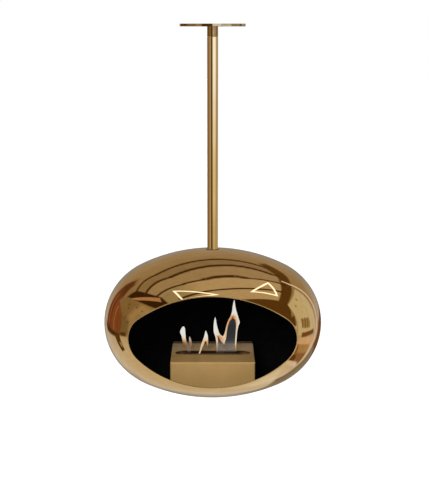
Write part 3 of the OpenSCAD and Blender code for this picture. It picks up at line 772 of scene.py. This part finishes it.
# What the polished metal sees of the room: corners, colour and blur of each card, from back to front.
ROOM = [
    # a grey dusk straight behind, which draws a fine grey line round the bowl
    (patch(160, -160, -32, 8), (0.3, 0.27, 0.235), 0.3),
    # light ceiling panel and warm ground on the left and the right
    (roof((-1.05, 0.04), (1.05, 1.04), (1.4, 0.1), (0.5, -0.7), (-0.95, -0.6)), (0.7, 0.585, 0.45), 0.02),
    (roof((-1.1, 0), (-0.28, 0.4), (-0.24, -0.4), (-0.95, -0.6)), (0.5, 0.43, 0.31), 0.25),
    (roof((-1.32, 0.88), (0.56, 1.66), (0.74, 1.37), (-1.13, 0.41)), (0.4, 0.3, 0.19), 0.02),
    (roof((-1.13, 0.41), (0.74, 1.37), (1.05, 1.03), (-0.93, 0.09)), (0.53, 0.42, 0.3), 0.02),
    (sky((-128, -12), (-70, -12), (-70, 30), (-128, 24)), (0.55, 0.42, 0.26), 0.05),
    (sky((-130, 3), (-103, 5), (-97, 30), (-130, 30)), (0.34, 0.24, 0.13), 0.14),
    (sky((-118, -11), (-98, -11), (-98, 6), (-114, 9)), (0.27, 0.2, 0.11), 0.1),
    (sky((100, -11), (136, -12), (134, 26), (100, 27)), (0.84, 0.79, 0.64), 0.03),
    (sky((110, -44), (150, -44), (158, -62), (110, -62)), (1.08, 1.08, 1.12), 0.2),
    # curtain on the left, with the post under it
    (sky((-148, -12), (-131, -13), (-131, 20), (-138, 28), (-146, 27)), (0.22, 0.072, 0.032), 0.03),
    (sky((-134, -13), (-114, -12), (-110, -3), (-113, 7), (-121, 11), (-134, 14)), (0.3, 0.11, 0.045), 0.035),
    (sky((-146, 17), (-131, 17), (-138, 29), (-147, 28)), (0.15, 0.06, 0.02), 0.1),
    (patch(-128, -126, -10, 10), (0.46, 0.22, 0.09), 0.02),
    (patch(-119, -117.5, -10, 4), (0.24, 0.09, 0.03), 0.03),
    (sky((-141, -8), (-139, -8), (-140, 12), (-142, 12)), (0.4, 0.17, 0.07), 0.02),
    (sky((-152, -9), (-113, -12), (-119, -15.5), (-131, -15), (-148, -13)), (0.1, 0.045, 0.012), 0.03),
    (sky((-114, -10), (-103, -8.5), (-103, -12.5), (-113, -13.5)), (0.14, 0.065, 0.02), 0.025),
    (sky((-126, -12), (-115, -12), (-115.5, -26.5), (-124, -27.5)), (0.13, 0.065, 0.012), 0.02),
    (patch(-119.5, -117, -19.5, -23.5), (0.6, 0.46, 0.32), 0.02),
    # window bars on the right
    (sky((107, -9.5), (133, -10.5), (133, -13.5), (107, -14.5)), (0.25, 0.12, 0.035), 0.025),
    (sky((103, -14), (135, -16), (135, -21), (104, -21)), (0.95, 0.69, 0.52), 0.03),
    (sky((104, -21), (132, -21), (138, -32), (130, -36), (104, -38)), (0.58, 0.39, 0.2), 0.03),
    (sky((104, -21), (106, -21), (112, -30), (108, -32)), (0.3, 0.17, 0.05), 0.03),
    (sky((112, -30), (133, -27), (138, -34), (113, -38)), (0.36, 0.2, 0.1), 0.04),
    (sky((103, -33), (112, -31), (118, -34), (118, -37), (104, -38.5)), (0.17, 0.072, 0.016), 0.025),
    (sky((104, -38.5), (128, -35.5), (139, -36), (124, -41), (106, -42)), (1.02, 0.95, 0.98), 0.03),
    (sky((144, -19), (170, -10), (176, -30), (162, -40), (148, -46), (143, -36)), (0.3, 0.25, 0.18), 0.05),
    (sky((107, 5), (122, 1), (122, -7.5), (107, -4.5)), (0.46, 0.36, 0.2), 0.03),
    (sky((108.5, 5), (109.8, 5), (109, -4), (107.7, -4)), (0.24, 0.14, 0.04), 0.018),
    (sky((113.5, 4), (114.8, 4), (114, -6), (112.7, -6)), (0.24, 0.14, 0.04), 0.018),
    (patch(117.8, 119, 2, -7), (0.24, 0.14, 0.04), 0.018),
    (patch(121.8, 122.8, -1, -7), (0.34, 0.22, 0.1), 0.018),
    (sky((146, -20), (148, -9), (158, -7.5), (176, -7.5), (178, -18), (168, -20)),
     (0.19, 0.085, 0.033), 0.045),
    # dark beam with a copper rail on the left
    (roof((-2, 1.4), (-1.26, 0.9), (-0.8, -0.02), (-0.8, -0.36), (-1.34, -0.42), (-1.6, 0.3)), DARKER, 0.03),
    (roof((-1.95, 1.08), (-0.85, -0.01), (-0.92, -0.19), (-1.6, 0.5)), (0.66, 0.38, 0.26), 0.015),
    # dark beam on the right
    (sky((141, 27), (150, 26), (161, 22), (166, 21), (166, 28), (162, 31), (153, 34.5), (141, 38)),
     DARK, 0.03),
    (sky((100, 28), (142, 28), (143, 37.5), (97, 38)), DARK, 0.025),
    (roof((0.4, -0.3), (0.57, -0.19), (1, 0.02), (1.8, 0.47), (2.6, 0.42), (5.2, 0.6), (5.2, -0.4),
          (0.7, -0.6)), DARK, 0.02),
    (sky((84, 12), (99, 13), (97, 0.6), (84, 0.6)), DARK, 0.03),
]

# Dark joints between the ceiling's panels, by two places on it and a width.
JOINTS = [
    ((-1.32, 0.88), (0.56, 1.66), 0.036), ((-1.13, 0.41), (0.74, 1.37), 0.042),
    ((-0.93, 0.08), (-0.32, 0.31), 0.048), ((-0.32, 0.31), (-0.06, 0.53), 0.05),
    ((-0.06, 0.53), (0.19, 0.655), 0.05), ((0.19, 0.655), (0.62, 0.77), 0.044),
    ((0.62, 0.77), (1.05, 1.03), 0.042), ((-0.52, -0.26), (0.01, 0), 0.058),
    ((0.01, 0), (0.62, 0.27), 0.056), ((0.62, 0.27), (1.1, 0.58), 0.046),
]

# Small dark dots, the two triangular lamps, and the window's bright edge from its top down.
DOTS = [(-99, 25), (-88, 24), (-109, 18), (-107, 7), (-100, 4), (-94, 3), (-109, -11), (-112, 21), (119, 23),
        (110, 20)]
LAMPS = [roof((0.6, 0.67), (1.1, 0.29), (0.48, 0.06)), roof((-0.5, 0.12), (0.08, -0.17), (-0.48, -0.36))]
WINDOW_EDGE = sky(
    (142, 36), (139, 31), (139, 26), (139, 20), (140, 13), (141, 7), (142, 1), (142, -3), (141, -8),
    (141, -13), (140, -18), (138, -23), (138, -29), (139, -33),
)

# Soft boxes in front, seen by the pole and the ceiling plate.
FRONT = [
    (patch(-62, -42, -20, 30), (0.72, 0.62, 0.55), 0.1),
    (patch(-94, -62, -20, 20), (0.49, 0.37, 0.25), 0.06),
    (patch(-38, -1, -18, 12), (0.17, 0.11, 0.05), 0.05),
    (patch(0, 74, -20, 12), (0.62, 0.5, 0.3), 0.06),
    (patch(74, 98, -3, 0), (0.82, 0.75, 0.72), 0.06),
    (patch(0, 68, -7.4, 4), (1.12, 1.08, 0.95), 0.07),
    (patch(0, 68, -3.1, 4), (1.62, 1.92, 2.85), 0.07),
    (patch(30, 72, -0.06, 3), (0.61, 0.68, 0.58), 0.002),
]


def studio_cards():
    """All cards from back to front: corners, colour, blur and, for the lamps, the outline's width."""
    cards = ROOM + [(bar(*roof(a, b), width), (0.095, 0.043, 0.007), 0.022) for a, b, width in JOINTS]
    half = 1.1  # of a dot, in degrees
    for side, rise in DOTS:
        spot = sky((side - half, rise), (side, rise + half), (side + half, rise), (side, rise - half))
        cards.append((spot, (0.13, 0.06, 0.02), 0.03))
    cards += [(corners, (2.9, 3.2, 4.0), 0.014, 0.025) for corners in LAMPS]
    for k, (a, b) in enumerate(zip(WINDOW_EDGE, WINDOW_EDGE[1:])):
        cards.append((bar(a, b, 0.030), (1.32 - 0.02 * k, 1.24 - 0.03 * k, 1.28 - 0.04 * k), 0.022))
    return cards + FRONT


def surroundings():
    """The world: white to the camera, plain light on matt surfaces, and the studio's cards in the metal."""
    world = bpy.data.worlds.new("studio")
    bpy.context.scene.world = world
    world.use_nodes = True
    tree = world.node_tree
    tree.nodes.clear()
    place = wire(tree, "TexCoord", out=0)
    rise = maths(tree, "ARCSINE", wire(tree, "SeparateXYZ", place, out=2))
    share = maths(tree, "MULTIPLY_ADD", rise, 1 / math.pi, 0.5)
    shown = ramp(tree, share, [(elevation / 180 + 0.5, tone) for elevation, tone in AIR])
    for corners, tone, *edges in studio_cards():
        shown = mixed(tree, card(tree, place, corners, *edges), shown, tone)
    shown = tint(tree, shown, wire(tree, "TexNoise", place, None, 16, 5, 0.6), 0.90, 1.08)
    plain, white, metal = (wire(tree, "Background", tone, 1.0) for tone in ((0.66,) * 3, (1, 1, 1), shown))
    path = tree.nodes.new("ShaderNodeLightPath").outputs
    lit = wire(tree, "MixShader", path["Is Glossy Ray"], plain, metal)
    seen = maths(tree, "MAXIMUM", path["Is Camera Ray"], path["Is Transmission Ray"])
    wire(tree, "OutputWorld", wire(tree, "MixShader", seen, lit, white))
    world.cycles.sampling_method = "NONE"


# ---- Operators ----

def dress(material, *nodes):
    """Gives CAD nodes a material in place of the plain one that they came with."""
    for node in nodes:
        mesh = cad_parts[node].data
        mesh.materials.clear()
        mesh.materials.append(material)


def leave_out_of_mirror(*objects):
    """Keeps objects out of the polished metal, which shows the studio's room alone."""
    for each in objects:
        each.visible_glossy = False


def sizes_of(context):
    return context.scene.fireplace_sizes


def finishes_of(context):
    return context.scene.fireplace_finishes


def brass(context):
    """The mirror brass of the pole and the bowl, made on first use."""
    name = "mirror_brass"
    return bpy.data.materials.get(name) or polished_brass(name, finishes_of(context).polished_brass)


def scaled(tone, factor):
    """A colour made darker, or lighter by a factor over 1."""
    return [factor * value for value in tone]


class FIREPLACE_OT_ceiling_fixing(bpy.types.Operator):
    """Dress the ceiling plate and the bearing, and turn the socket under the plate"""

    bl_idname = "fireplace.ceiling_fixing"
    bl_label = "Ceiling fixing"

    def execute(self, context):
        colours = finishes_of(context)
        # painted shade: the plate's mirror brass is made darker than the bowl's and the pole's
        dress(polished_brass("shaded_plate_brass", scaled(colours.polished_brass, 0.6)), "ceiling_plate")
        dress(turned("turned_bronze", colours.bronze), "swivel_bush")
        dress(turned("ground_steel", colours.steel, 0.08, 0.16),
              "bearing_race_fixed", "bearing_race_turning", "bearing_balls")
        dress(rough_steel("plated_steel", colours.steel, 0.30, 0.46),
              "socket_screws", "spindle_nut", "lock_nut", "crown_nut", "crown_washer", "bracket_bolts")
        # painted shade: the satin brass made darker for the socket under the ceiling plate; the foot ring
        # takes it too
        material = turned("shaded_turned_brass", scaled(colours.satin_brass, 0.6), 0.16, 0.26)
        socket = ring("pole_socket", 7.1 * MM, 0.2 * MM)
        body = piece("socket_body", [socket], material, "ceiling_fixing", ["pole_socket"])
        leave_out_of_mirror(body)
        return {"FINISHED"}


class FIREPLACE_OT_pole(bpy.types.Operator):
    """Turn the pole and the ring at its foot"""

    bl_idname = "fireplace.pole"
    bl_label = "Pole"

    def execute(self, context):
        inner = span("pole_tube", 0) / 2 - sizes_of(context).pole_wall
        tube = ring("pole_tube", inner, 0.2 * MM, turns=256)
        pole = piece("pole", [tube], brass(context), "fireplace", ["pole_tube"])
        foot = ring("base_ring", 6.5 * MM, 0.9 * MM)
        material = bpy.data.materials["shaded_turned_brass"]
        collar = piece("foot_ring", [foot], material, "fireplace", ["base_ring"])
        dress(rough_steel("mill_steel", finishes_of(context).steel, 0.38, 0.56),
              "pole_head", "pole_base", "crown_plate", "fixing_bosses", "fixing_brackets")
        crown = EQUATOR + 0.2  # height above which every piece hangs over the bowl or in its crown
        above = [node for name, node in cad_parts.items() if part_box(name)[0][2] > crown]
        leave_out_of_mirror(pole, collar, *above)
        return {"FINISHED"}


class FIREPLACE_OT_bowl(bpy.types.Operator):
    """Draw the polished bowl and paint the heat shield inside it"""

    bl_idname = "fireplace.bowl"
    bl_label = "Bowl"

    def execute(self, context):
        wall = bowl_shell(sizes_of(context))
        piece("bowl", [wall], brass(context), "fireplace", ["bowl_shell"], sharp=60)
        dress(shield_paint(finishes_of(context).shield_black), "heat_shield")
        return {"FINISHED"}


class FIREPLACE_OT_burner_box(bpy.types.Operator):
    """Draw the burner housing and the deck with its guard and tabs"""

    bl_idname = "fireplace.burner_box"
    bl_label = "Burner box"

    def execute(self, context):
        sizes, satin = sizes_of(context), finishes_of(context).satin_brass
        # a clear matt lacquer scatters part of the housing's light
        lacquered = brushed("lacquered_brass", satin, EVEN, 0.40, 0.50, 0.00001, 0.32)
        piece("housing", [housing_walls(sizes)], lacquered, "fireplace", ["burner_housing"])

        low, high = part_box("burner_deck")
        half, strip = (high[0] - low[0]) / 2, 1 * MM  # half the deck's width, half the guard's thickness
        guard_foot = DECK_TOP - 2.6 * MM
        guard = slab((0, high[1] - strip), half - 2.2 * MM, strip, guard_foot, high[2], 0.6 * MM)
        tab_x, tab_y = 90 * MM, half - 3.05 * MM
        tabs = [
            slab((x * tab_x, y * tab_y), 10 * MM, 0.75 * MM, low[2], DECK_TOP - 1 * MM, 0.3 * MM)
            for x in (-1, 1) for y in (-1, 1)
        ]
        # painted light: the deck takes the satin brass made a quarter lighter than the housing's
        top = deck_brass(scaled(satin, 1.25), sizes)
        piece("deck", [deck_plate(sizes), *tabs], top, "burner", ["burner_deck"])
        # painted shade: the flame guard's brass is near-black, standing in for the shade at the back of the
        # deck
        darkened_metal = brushed("shaded_guard_brass", (0.075, 0.047, 0.022), EVEN, 0.5, 0.62, 0.00001, 0.3)
        piece("flame_guard", [guard], darkened_metal, "burner", ["burner_deck"])
        return {"FINISHED"}


class FIREPLACE_OT_burner(bpy.types.Operator):
    """Dress the fuel tank, its wick and rails and the drip tray, and draw the damper"""

    bl_idname = "fireplace.burner"
    bl_label = "Burner"

    def execute(self, context):
        colours = finishes_of(context)
        dress(brushed("brushed_stainless", colours.stainless, (4, 260, 260), 0.26, 0.40), "drip_tray")
        dress(heat_tint_and_painted_light_stainless(colours.stainless), "fuel_tank", "damper_rails")
        dress(fibre_pad(colours.ceramic), "wick_pad")
        dress(rough_steel("scorched_mesh", (0.10, 0.085, 0.075), 0.45, 0.7), "wick_mesh")

        low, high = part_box("damper")
        middle_y, half_y, sheet = (low[1] + high[1]) / 2, (high[1] - low[1]) / 2, 1.5 * MM
        plate = slab((0, middle_y), high[0], half_y, low[2], low[2] + sheet, 0.4 * MM, 3 * MM)
        lip_half, lip_y, strip = 91 * MM, -26.5 * MM, 1 * MM
        lip = slab((0, lip_y), lip_half, strip, low[2] + 0.5 * MM, high[2], 0.7 * MM)
        darkened_metal = brushed("smoked_stainless", (0.36, 0.26, 0.17), (6, 220, 220), 0.42, 0.55)
        piece("damper_plate", [plate, lip], darkened_metal, "damper", ["damper"])
        return {"FINISHED"}


class FIREPLACE_OT_flames(bpy.types.Operator):
    """Draw the five flames and the faint gas between them and the slot"""

    bl_idname = "fireplace.flames"
    bl_label = "Flames"

    def execute(self, context):
        colours = finishes_of(context)
        tip, edge = np.array(colours.flame_tip), np.array(colours.flame_edge)
        skin = glow("flame_skin", [
            (0.0, edge * 0.2), (0.25, edge), (0.45, edge * 0.6 + tip * (0.38, 0.3, 0.2)),
            (0.7, tip * (1.0, 0.85, 0.66)), (0.95, tip),
        ])
        gas = glow("flame_gas", [(0.0, (0.36, 0.41, 0.45)), (0.8, (0.40, 0.41, 0.42)), (1.0, edge)])
        for shapes, material in ((FLAMES, skin), (GAS, gas)):
            for name, parts in shapes.items():
                bodies, warmth, opacity = zip(*(flame_body(rows, shapes is GAS) for rows in parts))
                values = {"flame_warmth": np.concatenate(warmth), "flame_opacity": np.concatenate(opacity)}
                piece(name, bodies, material, "burner", (), 80, values)
        return {"FINISHED"}


class FIREPLACE_OT_stage(bpy.types.Operator):
    """Set up the floor, the camera, the lamp and the studio surroundings"""

    bl_idname = "fireplace.stage"
    bl_label = "Stage"

    def execute(self, context):
        scene = context.scene
        mesh = bpy.data.meshes.new("floor")
        side, drop = 60.0, -2.45
        corners = [(x * side, y * side, drop) for x, y in ((-1, -1), (1, -1), (1, 1), (-1, 1))]
        mesh.from_pydata(corners, [], [(0, 1, 2, 3)])
        mesh.materials.append(floor_material(finishes_of(context).floor))
        floor = bpy.data.objects.new("floor", mesh)

        # the view that was fitted to the photograph's outline
        camera = bpy.data.objects.new("camera", bpy.data.cameras.new("camera"))
        camera.location = (0.0075, -4.5035, -0.0045)
        camera.rotation_euler = (math.radians(80.95), 0, 0)
        camera.data.lens, camera.data.sensor_width = 101.61, 36
        camera.data.clip_end = 200
        scene.camera = camera

        lamp = bpy.data.objects.new("soft_box", bpy.data.lights.new("soft_box", "AREA"))
        lamp.data.shape, lamp.data.size = "DISK", 1.6
        lamp.data.energy = 150
        lamp.location = (-0.6, -4.0, 0.75)
        lamp.rotation_euler = (math.radians(64.3), 0, math.radians(-8.9))

        for each in (floor, camera, lamp):
            scene.collection.objects.link(each)
        leave_out_of_mirror(floor, lamp)
        surroundings()
        scene.view_settings.view_transform = "Standard"
        return {"FINISHED"}


STEPS = (
    FIREPLACE_OT_ceiling_fixing,
    FIREPLACE_OT_pole,
    FIREPLACE_OT_bowl,
    FIREPLACE_OT_burner_box,
    FIREPLACE_OT_burner,
    FIREPLACE_OT_flames,
    FIREPLACE_OT_stage,
)


class FIREPLACE_PT_panel(bpy.types.Panel):
    """The fireplace's sizes, finishes and building steps"""

    bl_idname = "FIREPLACE_PT_panel"
    bl_label = "Hanging fireplace"
    bl_space_type = "VIEW_3D"
    bl_region_type = "UI"
    bl_category = "Fireplace"

    def draw(self, context):
        for group in (sizes_of(context), finishes_of(context)):
            box = self.layout.box()
            for name in group.__annotations__:
                box.prop(group, name)
        for step in STEPS:
            self.layout.operator(step.bl_idname)


CLASSES = (FireplaceSizes, FireplaceFinishes, *STEPS, FIREPLACE_PT_panel)


def register():
    for each in CLASSES:
        bpy.utils.register_class(each)
    bpy.types.Scene.fireplace_sizes = bpy.props.PointerProperty(type=FireplaceSizes)
    bpy.types.Scene.fireplace_finishes = bpy.props.PointerProperty(type=FireplaceFinishes)


def unregister():
    del bpy.types.Scene.fireplace_finishes
    del bpy.types.Scene.fireplace_sizes
    for each in reversed(CLASSES):
        bpy.utils.unregister_class(each)


def main():
    register()
    for step in STEPS:
        group, name = step.bl_idname.split(".")
        if getattr(getattr(bpy.ops, group), name)() != {"FINISHED"}:
            raise RuntimeError(f"{step.bl_label} didn't finish")


if __name__ == "__main__":
    main()
